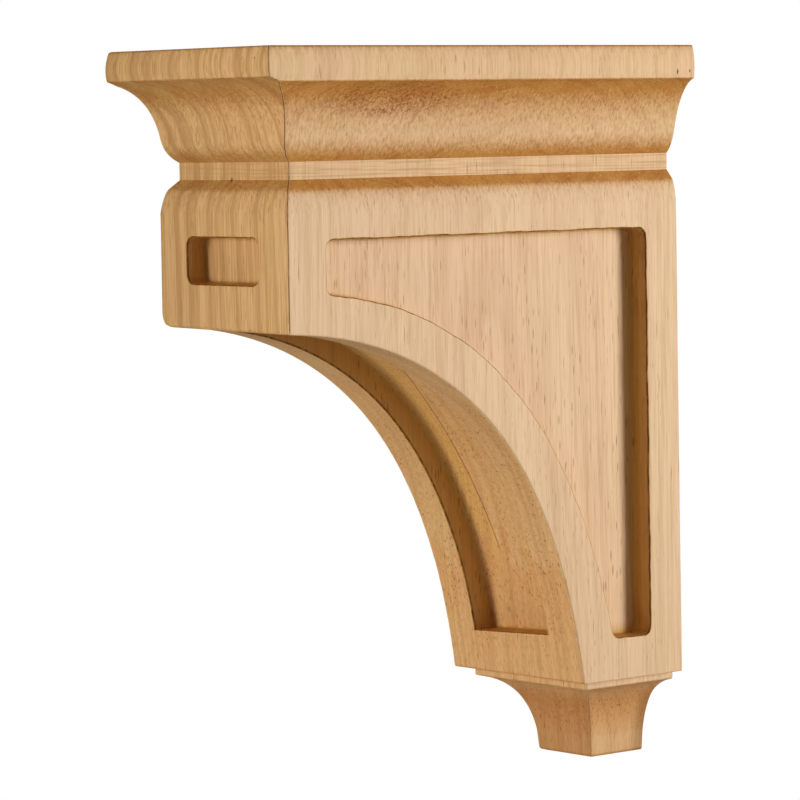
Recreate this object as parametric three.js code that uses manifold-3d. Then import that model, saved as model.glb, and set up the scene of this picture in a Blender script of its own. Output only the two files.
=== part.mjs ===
// A carved wooden corbel bracket: a block on a wall, a moulded cap on three sides, a long hollow
// sweep underneath, sunk panels in its faces and a small turned-in foot at its lower end.
// Millimetres, +Z up. X is the width, the wall is the plane Y = 0 and the front faces -Y.
// The origin is the middle of the back, halfway between the top and the foot's underside.

import * as THREE from 'three';
import { mergeVertices } from 'three/addons/utils/BufferGeometryUtils.js';
import Module from 'manifold-3d';

// Body
const BODY_WIDTH = 69.2;
const BODY_DEPTH = 176.1;
const APRON_HEIGHT = 38.7;
const APRON_EASE = 1.4;

// The hollow sweep from the apron's lower edge down to the stem's lower end. Its heel is the point
// where the lines that it sets out and arrives on would meet.
const SWEEP_HEIGHT = 129.5;
const SWEEP_HEEL_DEPTH = 66.2;
const SWEEP_HEEL_DROP = 5.2;
const STEM_DEPTH = 47.3;

// Cap: fascia, cove, bead, neck and shoulder, from the top down
const CAP_OVERHANG_SIDE = 10.4;
const CAP_OVERHANG_FRONT = 14.8;
const FASCIA_HEIGHT_SIDE = 12.1;
const FASCIA_HEIGHT_FRONT = 10.5;
const FASCIA_TOP_INSET = 0.9;
const FASCIA_LOW_INSET = 0.3;
const LIP_EASE = 1.1;
const CORNICE_HEIGHT = 30.0;
const COVE_HEEL_SIDE = 3.2;
const COVE_HEEL_FRONT = 1.6;
const COVE_HEEL_DROP = 3.4;
const WAIST_INSET_SIDE = 0.5;
const WAIST_OUTSET_FRONT = 0.2;
const BEAD_HEIGHT = 7.9;
const BEAD_SWELL = 5.3;
const NECK_INSET = 4.5;
const NECK_HEIGHT = 5.9;
const SHOULDER_SLOPE = 2.7;
const SHOULDER_SLOPE_HEIGHT = 3.1;
const SHOULDER_HEEL = 0.7;
const SHOULDER_HEEL_DROP = 1.7;
const SHOULDER_RUN_OUT = 8.1;

// Sunk panels, the rails around them and the rounding of their corners
const RAIL = 15.0;
const SIDE_FRONT_RAIL = 16.1;
const SIDE_TOP_RAIL = 8.9;
const FRONT_TOP_RAIL = 7.9;
const CHANNEL_FOOT_RAIL = 16.7;
const SIDE_PANEL_DEPTH = 7.9;
const FRONT_PANEL_DEPTH = 7.3;
const CHANNEL_DEPTH = 8.4;
const PANEL_CORNER = 3.2;

// The side panel's curved edge: its rise above the apron's lower edge at the front, how far its heel
// lies behind and above the sweep's, and its distance behind the stem's front at the lower end
const PANEL_EDGE_RISE = 11.8;
const PANEL_HEEL_BACK = 7.2;
const PANEL_HEEL_RISE = 8.1;
const PANEL_STEM_RAIL = 14.3;

// Foot: a fillet, a cove and a plain end
const FILLET_INSET_SIDE = 5.0;
const FILLET_INSET_FRONT = 5.5;
const FILLET_HEIGHT = 3.3;
const FILLET_EASE = 0.8;
const FOOT_WIDTH = 29.2;
const FOOT_DEPTH = 25.6;
const FOOT_COVE_HEIGHT = 20.0;
const FOOT_HEEL = 3.0;
const FOOT_HEEL_DROP = 1.9;
const FOOT_STRAIGHT = 7.5;
const FOOT_DRAFT = 0.5;
const FOOT_EASE = 1.3;

// Steps on each curve of an outline; an arc and a long curve get twice as many.
const CURVE_STEPS = 12;

// How far a cutter runs past the surface that it cuts
const OVERRUN = 10;

const HEIGHT = CORNICE_HEIGHT + BEAD_HEIGHT + NECK_HEIGHT + SHOULDER_SLOPE_HEIGHT
  + SHOULDER_RUN_OUT + APRON_HEIGHT + SWEEP_HEIGHT + FILLET_HEIGHT + FOOT_COVE_HEIGHT
  + FOOT_STRAIGHT;

// Levels, from the top down
const top = HEIGHT / 2;
const waistLevel = top - CORNICE_HEIGHT;
const neckTop = waistLevel - BEAD_HEIGHT;
const neckBottom = neckTop - NECK_HEIGHT;
const slopeBottom = neckBottom - SHOULDER_SLOPE_HEIGHT;
const shoulderBottom = slopeBottom - SHOULDER_RUN_OUT;
const crown = shoulderBottom - APRON_HEIGHT;
const bodyBottom = crown - SWEEP_HEIGHT;
const filletBottom = bodyBottom - FILLET_HEIGHT;
const footCoveBottom = filletBottom - FOOT_COVE_HEIGHT;
const bottom = footCoveBottom - FOOT_STRAIGHT;
const sidePanelTop = shoulderBottom - SIDE_TOP_RAIL;
const sidePanelBottom = bodyBottom + RAIL;
const frontPanelTop = shoulderBottom - FRONT_TOP_RAIL;
const frontPanelBottom = crown + RAIL;
const channelBottom = bodyBottom + CHANNEL_FOOT_RAIL;

// Distances out from the centre line (side) and from the wall (front)
const side = {
  body: BODY_WIDTH / 2,
  overhang: CAP_OVERHANG_SIDE,
  fascia: FASCIA_HEIGHT_SIDE,
  coveHeel: COVE_HEEL_SIDE,
  waist: BODY_WIDTH / 2 - WAIST_INSET_SIDE,
  fillet: BODY_WIDTH / 2 - FILLET_INSET_SIDE,
  foot: FOOT_WIDTH / 2,
};
const front = {
  body: BODY_DEPTH,
  overhang: CAP_OVERHANG_FRONT,
  fascia: FASCIA_HEIGHT_FRONT,
  coveHeel: COVE_HEEL_FRONT,
  waist: BODY_DEPTH + WAIST_OUTSET_FRONT,
  fillet: STEM_DEPTH - FILLET_INSET_FRONT,
  foot: FOOT_DEPTH,
};
const sweep = new THREE.QuadraticBezierCurve(
  new THREE.Vector2(-BODY_DEPTH + APRON_EASE, crown),
  new THREE.Vector2(-SWEEP_HEEL_DEPTH, crown - SWEEP_HEEL_DROP),
  new THREE.Vector2(-STEM_DEPTH, bodyBottom),
);
const panelEdge = new THREE.QuadraticBezierCurve(
  new THREE.Vector2(-BODY_DEPTH + SIDE_FRONT_RAIL, crown + PANEL_EDGE_RISE),
  new THREE.Vector2(sweep.v1.x + PANEL_HEEL_BACK, sweep.v1.y + PANEL_HEEL_RISE),
  new THREE.Vector2(-STEM_DEPTH + PANEL_STEM_RAIL, sidePanelBottom),
);

const wasm = await Module();
wasm.setup();

// Adds a stretch of a curve to a path, as two curves: from one share of the curve's run to another
function drawStretch(path, curve, from, to) {
  const blend = (a, b) => new THREE.Vector2()
    .addScaledVector(curve.v0, (1 - a) * (1 - b))
    .addScaledVector(curve.v1, (1 - a) * b + a * (1 - b))
    .addScaledVector(curve.v2, a * b);
  const middle = (from + to) / 2;
  [[from, middle], [middle, to]].forEach(([start, end]) => {
    const control = blend(start, end);
    const finish = blend(end, end);
    path.quadraticCurveTo(control.x, control.y, finish.x, finish.y);
  });
}

// The cap's profile from its top edge down to the body's face, on the side that sign points to
function drawCap(path, face, sign) {
  const capEdge = face.body + face.overhang;
  const lipEdge = capEdge - FASCIA_LOW_INSET;
  const swell = Math.sqrt(FASCIA_TOP_INSET * FASCIA_LOW_INSET);
  const neck = face.body - NECK_INSET;
  const fasciaBottom = top - face.fascia;
  const heelLevel = fasciaBottom - COVE_HEEL_DROP;
  const swellShare = BEAD_SWELL / (heelLevel - waistLevel);
  path.lineTo(sign * (capEdge - FASCIA_TOP_INSET), top);
  path.quadraticCurveTo(
    sign * (capEdge + swell), (top + fasciaBottom) / 2,
    sign * lipEdge, fasciaBottom + LIP_EASE,
  );
  path.quadraticCurveTo(
    sign * lipEdge, fasciaBottom,
    sign * (lipEdge - LIP_EASE), fasciaBottom,
  );
  path.quadraticCurveTo(
    sign * (face.waist + face.coveHeel), heelLevel,
    sign * face.waist, waistLevel,
  );
  path.quadraticCurveTo(
    sign * (face.waist - face.coveHeel * swellShare), waistLevel - BEAD_SWELL,
    sign * neck, neckTop,
  );
  path.lineTo(sign * neck, neckBottom);
  path.lineTo(sign * (neck + SHOULDER_SLOPE), slopeBottom);
  path.quadraticCurveTo(
    sign * (face.body - SHOULDER_HEEL), slopeBottom - SHOULDER_HEEL_DROP,
    sign * face.body, shoulderBottom,
  );
}

// The foot's profile from the fillet under the body down to the foot's underside
function drawFoot(path, face, sign) {
  const ease = Math.min(FOOT_EASE, FOOT_STRAIGHT);
  const lip = Math.min(FILLET_EASE, FILLET_HEIGHT);
  path.lineTo(sign * face.fillet, bodyBottom);
  path.lineTo(sign * face.fillet, filletBottom + lip);
  path.lineTo(sign * (face.fillet - lip), filletBottom);
  path.quadraticCurveTo(
    sign * (face.foot + FOOT_HEEL), filletBottom - FOOT_HEEL_DROP,
    sign * face.foot, footCoveBottom,
  );
  path.lineTo(sign * (face.foot - FOOT_DRAFT), bottom + ease);
  path.lineTo(sign * (face.foot - FOOT_DRAFT - ease), bottom);
}

// The front view, X across and Z up: a half outline and its mirror image
function frontOutline() {
  const half = new THREE.Path();
  half.moveTo(side.body + side.overhang - FASCIA_TOP_INSET, top);
  drawCap(half, side, 1);
  half.lineTo(side.body, bodyBottom);
  drawFoot(half, side, 1);
  const right = half.getPoints(CURVE_STEPS).reverse();
  const left = right.map((point) => new THREE.Vector2(-point.x, point.y)).reverse();
  return new THREE.Shape([...right, ...left]);
}

// The side view, Y across and Z up, with the sweep between the apron and the foot
function sideOutline() {
  const shape = new THREE.Shape();
  shape.moveTo(0, top);
  drawCap(shape, front, -1);
  shape.lineTo(-BODY_DEPTH, crown + Math.min(APRON_EASE, APRON_HEIGHT));
  shape.lineTo(sweep.v0.x, sweep.v0.y);
  drawStretch(shape, sweep, 0, 1);
  drawFoot(shape, front, -1);
  shape.lineTo(0, bottom);
  return shape;
}

// The side panel: straight at the top, the wall end, the bottom and the front end, with a curved
// edge above the sweep and every corner rounded by the cutter
function sidePanelOutline() {
  const r = PANEL_CORNER;
  const wallEnd = -RAIL;
  const { v0: frontCorner, v1: heel, v2: footCorner } = panelEdge;
  const from = r / (2 * frontCorner.distanceTo(heel));
  const to = 1 - r / (2 * footCorner.distanceTo(heel));
  const setOut = panelEdge.getPoint(from);
  const shape = new THREE.Shape();
  shape.absarc(frontCorner.x + r, sidePanelTop - r, r, Math.PI / 2, Math.PI, false);
  shape.lineTo(frontCorner.x, frontCorner.y + r);
  shape.quadraticCurveTo(frontCorner.x, frontCorner.y, setOut.x, setOut.y);
  drawStretch(shape, panelEdge, from, to);
  shape.quadraticCurveTo(footCorner.x, footCorner.y, footCorner.x + r, footCorner.y);
  shape.absarc(wallEnd - r, sidePanelBottom + r, r, 1.5 * Math.PI, 2 * Math.PI, false);
  shape.absarc(wallEnd - r, sidePanelTop - r, r, 0, Math.PI / 2, false);
  return shape;
}

// The small panel in the front of the apron
function frontPanelOutline() {
  const halfWidth = BODY_WIDTH / 2 - RAIL;
  const r = Math.min(PANEL_CORNER, halfWidth, (frontPanelTop - frontPanelBottom) / 2);
  const shape = new THREE.Shape();
  shape.absarc(halfWidth - r, frontPanelTop - r, r, 0, Math.PI / 2, false);
  shape.absarc(-halfWidth + r, frontPanelTop - r, r, Math.PI / 2, Math.PI, false);
  shape.absarc(-halfWidth + r, frontPanelBottom + r, r, Math.PI, 1.5 * Math.PI, false);
  shape.absarc(halfWidth - r, frontPanelBottom + r, r, 1.5 * Math.PI, 2 * Math.PI, false);
  return shape;
}

// Everything below a floor that runs inside the sweep, the channel's depth away from it
function belowChannelFloor() {
  const steps = 2 * CURVE_STEPS;
  const floor = Array.from({ length: steps + 1 }, (_, i) => {
    const point = sweep.getPoint(i / steps);
    const ahead = sweep.getTangent(i / steps);
    return new THREE.Vector2(-ahead.y, ahead.x).multiplyScalar(CHANNEL_DEPTH).add(point);
  });
  const outer = new THREE.Vector2(floor[0].x, floor[steps].y);
  return new THREE.Shape([outer, ...floor.reverse()]);
}

// The stretch of the sweep between the channel's two end walls
function channelReach() {
  const frontEnd = -BODY_DEPTH + RAIL;
  return new THREE.Shape([
    new THREE.Vector2(frontEnd, channelBottom),
    new THREE.Vector2(0, channelBottom),
    new THREE.Vector2(0, top),
    new THREE.Vector2(frontEnd, top),
  ]);
}

// Closed solid of an outline carried along a straight line
function prism(shape, length, steps) {
  const geometry = new THREE.ExtrudeGeometry(shape, {
    depth: length,
    bevelEnabled: false,
    curveSegments: steps,
  });
  geometry.deleteAttribute('normal');
  geometry.deleteAttribute('uv');
  return mergeVertices(geometry);
}

function toSolid(geometry) {
  return new wasm.Manifold(new wasm.Mesh({
    numProp: 3,
    vertProperties: new Float32Array(geometry.attributes.position.array),
    triVerts: new Uint32Array(geometry.index.array),
  }));
}

// A side-view outline carried along +X from x = start
function acrossWidth(shape, start, length, steps = CURVE_STEPS) {
  const geometry = prism(shape, length, steps);
  const turn = new THREE.Matrix4().makeBasis(
    new THREE.Vector3(0, 1, 0),
    new THREE.Vector3(0, 0, 1),
    new THREE.Vector3(1, 0, 0),
  );
  geometry.applyMatrix4(turn);
  geometry.translate(start, 0, 0);
  return toSolid(geometry);
}

// A front-view outline carried along -Y from y = start
function acrossDepth(shape, start, length, steps = CURVE_STEPS) {
  const geometry = prism(shape, length, steps);
  geometry.rotateX(Math.PI / 2);
  geometry.translate(0, start, 0);
  return toSolid(geometry);
}

function toGeometry(solid) {
  const mesh = solid.getMesh();
  const positions = [];
  for (let i = 0; i < mesh.numVert; i += 1) {
    positions.push(...mesh.vertProperties.slice(i * mesh.numProp, i * mesh.numProp + 3));
  }
  const geometry = new THREE.BufferGeometry();
  geometry.setAttribute('position', new THREE.Float32BufferAttribute(positions, 3));
  geometry.setIndex(Array.from(mesh.triVerts));
  geometry.computeVertexNormals();
  return geometry;
}

// The two views carried through each other give the block, with its mouldings mitred
function block() {
  const halfSpan = side.body + side.overhang + OVERRUN;
  const reach = front.body + front.overhang + 2 * OVERRUN;
  const fromSide = acrossWidth(sideOutline(), -halfSpan, 2 * halfSpan);
  const fromFront = acrossDepth(frontOutline(), OVERRUN, reach);
  return fromSide.intersect(fromFront);
}

// The channel along the sweep, as deep everywhere
function channel() {
  const halfWidth = BODY_WIDTH / 2 - RAIL;
  const hollow = acrossWidth(belowChannelFloor(), -halfWidth, 2 * halfWidth);
  return hollow.intersect(acrossWidth(channelReach(), -halfWidth, 2 * halfWidth));
}

function panels() {
  const cornerSteps = CURVE_STEPS / 2;
  const floor = BODY_WIDTH / 2 - SIDE_PANEL_DEPTH;
  const sideCut = SIDE_PANEL_DEPTH + OVERRUN;
  const frontCut = FRONT_PANEL_DEPTH + OVERRUN;
  return [
    acrossWidth(sidePanelOutline(), floor, sideCut),
    acrossWidth(sidePanelOutline(), -floor - sideCut, sideCut),
    acrossDepth(frontPanelOutline(), -BODY_DEPTH + FRONT_PANEL_DEPTH, frontCut, cornerSteps),
    channel(),
  ];
}

function makeCorbel() {
  const solid = panels().reduce((body, panel) => body.subtract(panel), block());
  const wood = new THREE.MeshStandardMaterial({ color: 0xd8ad78, roughness: 0.62, metalness: 0 });
  const mesh = new THREE.Mesh(toGeometry(solid), wood);
  mesh.name = 'corbel';
  return mesh;
}

const corbelBracket = new THREE.Group();
corbelBracket.add(makeCorbel());

export default corbelBracket;
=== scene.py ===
# A carved wooden corbel bracket in bare pale hardwood. Metres, +Z up, wall at Y = 0, front facing -Y.

import math

import bmesh
import bpy
import numpy as np
from mathutils import Matrix, Vector


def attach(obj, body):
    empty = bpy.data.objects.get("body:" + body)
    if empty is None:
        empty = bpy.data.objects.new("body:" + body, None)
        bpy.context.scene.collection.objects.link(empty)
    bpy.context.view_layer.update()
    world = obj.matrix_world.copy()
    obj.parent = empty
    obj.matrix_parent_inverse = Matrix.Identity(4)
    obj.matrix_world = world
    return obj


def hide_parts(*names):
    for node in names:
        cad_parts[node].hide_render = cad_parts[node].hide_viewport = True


MM = 0.001

# Body, in millimetres. Reach is the distance out from the centre line on a side face and out from
# the wall on the front; drop is the distance below the top.
BODY_WIDTH = 69.2
BODY_DEPTH = 176.1
APRON_HEIGHT = 38.7
APRON_EASE = 1.4
SWEEP_HEIGHT = 129.5
SWEEP_HEEL_DEPTH = 66.2
SWEEP_HEEL_DROP = 5.2
STEM_DEPTH = 47.3
STEM_EASE = 0.9

# Cap
FASCIA_TOP_INSET = 0.9
FASCIA_LOW_INSET = 0.3
LIP_EASE = 1.1
CORNICE_HEIGHT = 30.0
COVE_HEEL_DROP = 3.4
BEAD_HEIGHT = 7.9
BEAD_SWELL = 5.3
NECK_INSET = 4.5
NECK_HEIGHT = 5.9
SHOULDER_SLOPE = 2.7
SHOULDER_SLOPE_HEIGHT = 3.1
SHOULDER_HEEL = 0.7
SHOULDER_HEEL_DROP = 1.7
SHOULDER_RUN_OUT = 8.1
CAP_SIDE = {"overhang": 10.4, "fascia": 12.1, "heel": 3.2, "waist": -0.5}
CAP_FRONT = {"overhang": 14.8, "fascia": 10.5, "heel": 1.6, "waist": 0.2}

# Sunk panels
RAIL = 15.0
SIDE_FRONT_RAIL = 16.1
SIDE_TOP_RAIL = 8.9
FRONT_TOP_RAIL = 7.9
CHANNEL_FOOT_RAIL = 16.7
SIDE_PANEL_DEPTH = 7.9
FRONT_PANEL_DEPTH = 7.3
CHANNEL_DEPTH = 8.4
PANEL_CORNER = 3.2
PANEL_EDGE_RISE = 11.8
PANEL_HEEL_BACK = 7.2
PANEL_HEEL_RISE = 8.1
PANEL_STEM_RAIL = 14.3
PANEL_LIP = 0.5
PANEL_FILLET = 0.7

# Foot
FILLET_HEIGHT = 3.3
FILLET_EASE = 0.8
FILLET_REACH = {"side": 29.6, "front": 41.8}
FOOT_REACH = {"side": 14.6, "front": 25.6}
FOOT_COVE_HEIGHT = 20.0
FOOT_HEEL = 3.0
FOOT_HEEL_DROP = 1.9
FOOT_STRAIGHT = 7.5
FOOT_DRAFT = 0.5
FOOT_EASE = 1.6

# Sanded roundings of the outer edges, and how far hand work strays from the drawn lines
EDGE = 0.6
TOP_EDGE = 0.7
EDGE_STRAY = 0.4
EDGE_STRAY_RATE = 1.7
PANEL_STRAY = 0.22
FACE_STRAY = 0.12

# Slow waves along an edge: millimetres to a radian, start and share
EDGE_WAVES = ((6.1, 1.3, 1.0), (2.7, 0.4, 0.7), (1.1, 2.2, 0.5))

# Slow waves over the faces: millimetres to a radian up the block and along the face, and the start
SIDE_WAVES = ((9.7, 31.0, 0.0), (23.0, -17.0, 2.0))
FRONT_WAVE = (13.0, 11.0, 0.0)

# The body's lean to the left, its share by height, and where it fades out towards the right face
LEAN = 1.0
LEAN_HEIGHTS = (-95.0, -60.0, 0.0, 30.0, 72.0, 83.0)
LEAN_SHARES = (1.0, 0.3, 0.3, 1.0, 1.0, 0.0)
LEAN_FADE = (20.0, 26.0)

# The slant of the cut's edge, how far it reaches up and down, and where it sets in from the wall
CUT_SLANT = 1.0
CUT_SLANT_REACH = 5.0
CUT_SLANT_START = (80.0, 110.0)

# The slant of the rim at the channel's foot
FOOT_RIM_SLANT = 1.6
FOOT_RIM_REACH = 7.0
FOOT_RIM_START = 30.0

# The wear of the apron's far lower corner and the way it draws in
CORNER_WEAR = 0.75
CORNER_WEAR_REACH = 2.6
CORNER_WEAR_WAY = (1.0, 0.6, 0.9)

# Half the stretch of a side panel's outline that pairs with an eased corner of the outer edge
EASE_PAIR = 0.9

# Rows on a sunk wall: how far the first is down and the last above the floor, and how much painted shade they
# carry
WALL_HIGH = 0.9
WALL_LOW = 1.8
WALL_SHADE = (0.6, 0.8, 1.0)
# How dark the painted shadow is on a side panel's floor beside its rear wall
FLOOR_SHADOW = 0.8

# Edge mask: worn outer edges, partly a painted highlight, painted shade lines on upright corners, light
# painted shade on the channel floor, painted shade on inner walls and the dark line of a lip
WORN_HIGHLIT_EDGE = 1.0
SHADED_CORNER = 2.0
CHANNEL_FLOOR_SHADE = -0.2
SHADED_RECESS = -1.0
LIP_LINE = -2.0
FOOT_CORNER_SHADE = 0.7
CORNER_SHADE_SHAPE = (0.0, 1.1, SHADED_CORNER, 1.1, 0.0)

# Mesh steps along each stretch
SIDE_STEPS = 110
WIDTH_STEPS = 36
APRON_STEPS = 24
SWEEP_STEPS = 140
EASE_STEPS = 4
BOTTOM_STEPS = 28
BACK_STEPS = 96
ROUND_STEPS = 4

# Points along the drawn profiles and outlines, which the mesh steps are read from
EASE_POINTS = 8
FACE_POINTS = 12
COVE_POINTS = 60
BEAD_POINTS = 40
SHOULDER_POINTS = 24
CORNER_POINTS = 12
PANEL_EDGE_POINTS = 400
SWEEP_POINTS = 2000

# Welding: points this near are one, slivers this thin go, and the skin is open only this near the wall
WELD = 0.01
SLIVER = 0.002
AT_WALL = 0.001

# Faces that meet at more degrees than this show a sharp edge
SMOOTH_ANGLE = 28

HALF = BODY_WIDTH / 2
WAIST = CORNICE_HEIGHT
NECK_TOP = WAIST + BEAD_HEIGHT
NECK_BOTTOM = NECK_TOP + NECK_HEIGHT
SLOPE_BOTTOM = NECK_BOTTOM + SHOULDER_SLOPE_HEIGHT
SHOULDER = SLOPE_BOTTOM + SHOULDER_RUN_OUT
CROWN = SHOULDER + APRON_HEIGHT
BODY_BOTTOM = CROWN + SWEEP_HEIGHT
FILLET_BOTTOM = BODY_BOTTOM + FILLET_HEIGHT
FOOT_COVE_BOTTOM = FILLET_BOTTOM + FOOT_COVE_HEIGHT
HEIGHT = FOOT_COVE_BOTTOM + FOOT_STRAIGHT
SIDE_PANEL_TOP = SHOULDER + SIDE_TOP_RAIL
SIDE_PANEL_BOTTOM = BODY_BOTTOM - RAIL
FRONT_PANEL_TOP = SHOULDER + FRONT_TOP_RAIL
FRONT_PANEL_BOTTOM = CROWN - RAIL
CHANNEL_BOTTOM = BODY_BOTTOM - CHANNEL_FOOT_RAIL
HALF_PANEL = HALF - RAIL

# The point in (reach, drop) towards which the mesh of a side panel's floor closes
SIDE_FLOOR_POINT = (RAIL + 10.0, SIDE_PANEL_TOP + 11.5)

# Shares of the way along a side and across the front; the last steps stand close to the corners
SIDE_SHARES = np.append(np.linspace(0.0, 0.995, SIDE_STEPS), 1.0)
ACROSS_SHARES = np.concatenate([[-1.0], np.linspace(-0.975, 0.975, WIDTH_STEPS - 1), [1.0]])
ACROSS = ACROSS_SHARES * (HALF - EDGE)


def height_of(drop):
    """Height over the origin of a place that far below the top."""
    return HEIGHT / 2 - drop


def curve(start, control, end, steps):
    """Quadratic curve: (1-t)^2 start + 2t(1-t) control + t^2 end, as an array of steps + 1 points."""
    t = np.linspace(0.0, 1.0, steps + 1)[:, None]
    start, control, end = (np.array(p, float) for p in (start, control, end))
    return (1 - t) ** 2 * start + 2 * t * (1 - t) * control + t**2 * end


def fine(control_points, steps):
    """A quadratic curve's points and its unit normals, which point up and back into the wood."""
    points = curve(*control_points, steps)
    ahead = np.gradient(points, axis=0)
    ahead /= np.hypot(*ahead.T)[:, None]
    return points, np.stack([-ahead[:, 1], ahead[:, 0]], 1)


def circle(centre, radius, start, end, steps):
    """Arc in (reach, drop): centre + radius times (cos, sin) of the angle, in degrees."""
    a = np.radians(np.linspace(start, end, steps + 1))
    return np.array(centre) + radius * np.stack([np.cos(a), np.sin(a)], 1)


def run_along(points):
    """How far along a polyline each of its points stands."""
    return np.concatenate([[0.0], np.cumsum(np.hypot(*np.diff(points, axis=0).T))])


def along(points, distances):
    """Points of a polyline at the given distances along it."""
    run = run_along(points)
    return np.stack([np.interp(distances, run, points[:, k]) for k in (0, 1)], 1)


def offset(points, distance, closed):
    """Moves each point of a polyline to its left by distance, mitred: the sum of the two edge
    normals n1 + n2 over 1 + n1.n2, times the distance."""
    edges = np.diff(np.vstack([points, points[:1]]) if closed else points, axis=0)
    edges = edges / np.hypot(*edges.T)[:, None]
    normals = np.stack([-edges[:, 1], edges[:, 0]], 1)
    if closed:
        before, after = np.roll(normals, 1, axis=0), normals
    else:
        before = np.vstack([normals[:1], normals])
        after = np.vstack([normals, normals[-1:]])
    mitre = (before + after) / (1 + (before * after).sum(1))[:, None]
    return points + distance * mitre


def uneven(run):
    """Slow waves along a run in millimetres, between -1 and 1: sines of three unrelated lengths."""
    waves = sum(share * np.sin(run / size + start) for size, start, share in EDGE_WAVES)
    return waves / sum(share for size, start, share in EDGE_WAVES)


def face_wave(up, aside, sizes):
    """Sine of the height and the place along a face, each over its own millimetres to a radian."""
    up_size, aside_size, start = sizes
    return np.sin(up / up_size + aside / aside_size + start)


def hand_worked(points):
    """Cut and sanded by hand: each point draws in by slow waves over its face; away from the right
    face the body leans a little to the left; the sweep is cut lower towards the right, the foot of
    its channel lower towards the left; and the far lower corner of the apron is worn round. Each
    term is a length times shares of place, which fade as exp(-(distance / reach)^2) or linearly."""
    x, y, z = points.T
    moved = points.copy()
    side_waves = 0.5 + 0.25 * sum(face_wave(z, y, sizes) for sizes in SIDE_WAVES)
    moved[:, 0] -= FACE_STRAY * side_waves * x / HALF
    moved[:, 1] -= FACE_STRAY * (0.5 + 0.5 * face_wave(z, x, FRONT_WAVE)) * y / BODY_DEPTH
    moved[:, 0] -= LEAN * np.interp(z, LEAN_HEIGHTS, LEAN_SHARES) * np.interp(x, LEAN_FADE, (1.0, 0.0))
    sweep_z = height_of(np.interp(-y, SWEEP[::-1, 0], SWEEP[::-1, 1]))
    by_sweep = np.exp(-((z - sweep_z) / CUT_SLANT_REACH) ** 2) * np.interp(-y, CUT_SLANT_START, (0.0, 1.0))
    moved[:, 2] -= CUT_SLANT * (0.5 + x / BODY_WIDTH) * by_sweep
    by_rim = np.exp(-((z - height_of(CHANNEL_BOTTOM)) / FOOT_RIM_REACH) ** 2) * (-y > FOOT_RIM_START)
    rim_ends = (-HALF + EDGE, -HALF_PANEL, HALF_PANEL)
    moved[:, 2] -= FOOT_RIM_SLANT * by_rim * np.interp(x, rim_ends, (0.0, 1.0, 0.0))
    corner = np.array([-HALF, -BODY_DEPTH, height_of(CROWN)])
    by_corner = np.exp(-((points - corner) ** 2).sum(1) / CORNER_WEAR_REACH**2)
    return moved + CORNER_WEAR * by_corner[:, None] * np.array(CORNER_WEAR_WAY)


# Profiles: each gives reach as a function of drop

def cap_profile(body, cap):
    """Fascia with eased edges, cove, bead, neck and shoulder as one curve of (reach, drop)."""
    edge = body + cap["overhang"]
    top = edge - FASCIA_TOP_INSET
    lip = edge - FASCIA_LOW_INSET
    swell = math.sqrt(FASCIA_TOP_INSET * FASCIA_LOW_INSET)
    fascia = cap["fascia"]
    waist = body + cap["waist"]
    neck = body - NECK_INSET
    heel = fascia + COVE_HEEL_DROP
    bead = BEAD_SWELL / (WAIST - heel)
    slope = neck + SHOULDER_SLOPE
    face = curve((top, 0), (edge + swell, fascia / 2), (lip, fascia - LIP_EASE), FACE_POINTS)
    face = face[face[:, 1] > TOP_EDGE]
    return np.vstack([
        curve((top - TOP_EDGE, 0), (top, 0), face[0], EASE_POINTS),
        face,
        curve((lip, fascia - LIP_EASE), (lip, fascia), (lip - LIP_EASE, fascia), EASE_POINTS),
        curve((lip - LIP_EASE, fascia), (waist + cap["heel"], heel), (waist, WAIST), COVE_POINTS),
        curve((waist, WAIST), (waist - cap["heel"] * bead, WAIST + BEAD_SWELL),
              (neck, NECK_TOP), BEAD_POINTS),
        [(neck, NECK_BOTTOM), (slope, SLOPE_BOTTOM)],
        curve((slope, SLOPE_BOTTOM), (body - SHOULDER_HEEL, SLOPE_BOTTOM + SHOULDER_HEEL_DROP),
              (body, SHOULDER), SHOULDER_POINTS),
    ])


def foot_profile(face):
    """Fillet, cove and plain foot with an eased lower edge as one curve of (reach, drop)."""
    fillet = FILLET_REACH[face]
    foot = FOOT_REACH[face]
    end = foot - FOOT_DRAFT
    ease = FILLET_EASE
    return np.vstack([
        [(fillet, BODY_BOTTOM)],
        curve((fillet, FILLET_BOTTOM - ease), (fillet, FILLET_BOTTOM),
              (fillet - ease, FILLET_BOTTOM), EASE_POINTS),
        curve((fillet - ease, FILLET_BOTTOM), (foot + FOOT_HEEL, FILLET_BOTTOM + FOOT_HEEL_DROP),
              (foot, FOOT_COVE_BOTTOM), COVE_POINTS),
        curve((end, HEIGHT - FOOT_EASE), (end, HEIGHT), (end - FOOT_EASE, HEIGHT), EASE_POINTS),
    ])


def levels(*stretches):
    """Drops of the mesh rows: each stretch is (start, end, steps), joined without repeats."""
    rows = np.concatenate([np.linspace(start, end, steps + 1) for start, end, steps in stretches])
    return np.unique(rows.round(6))


# Mesh parts

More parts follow.
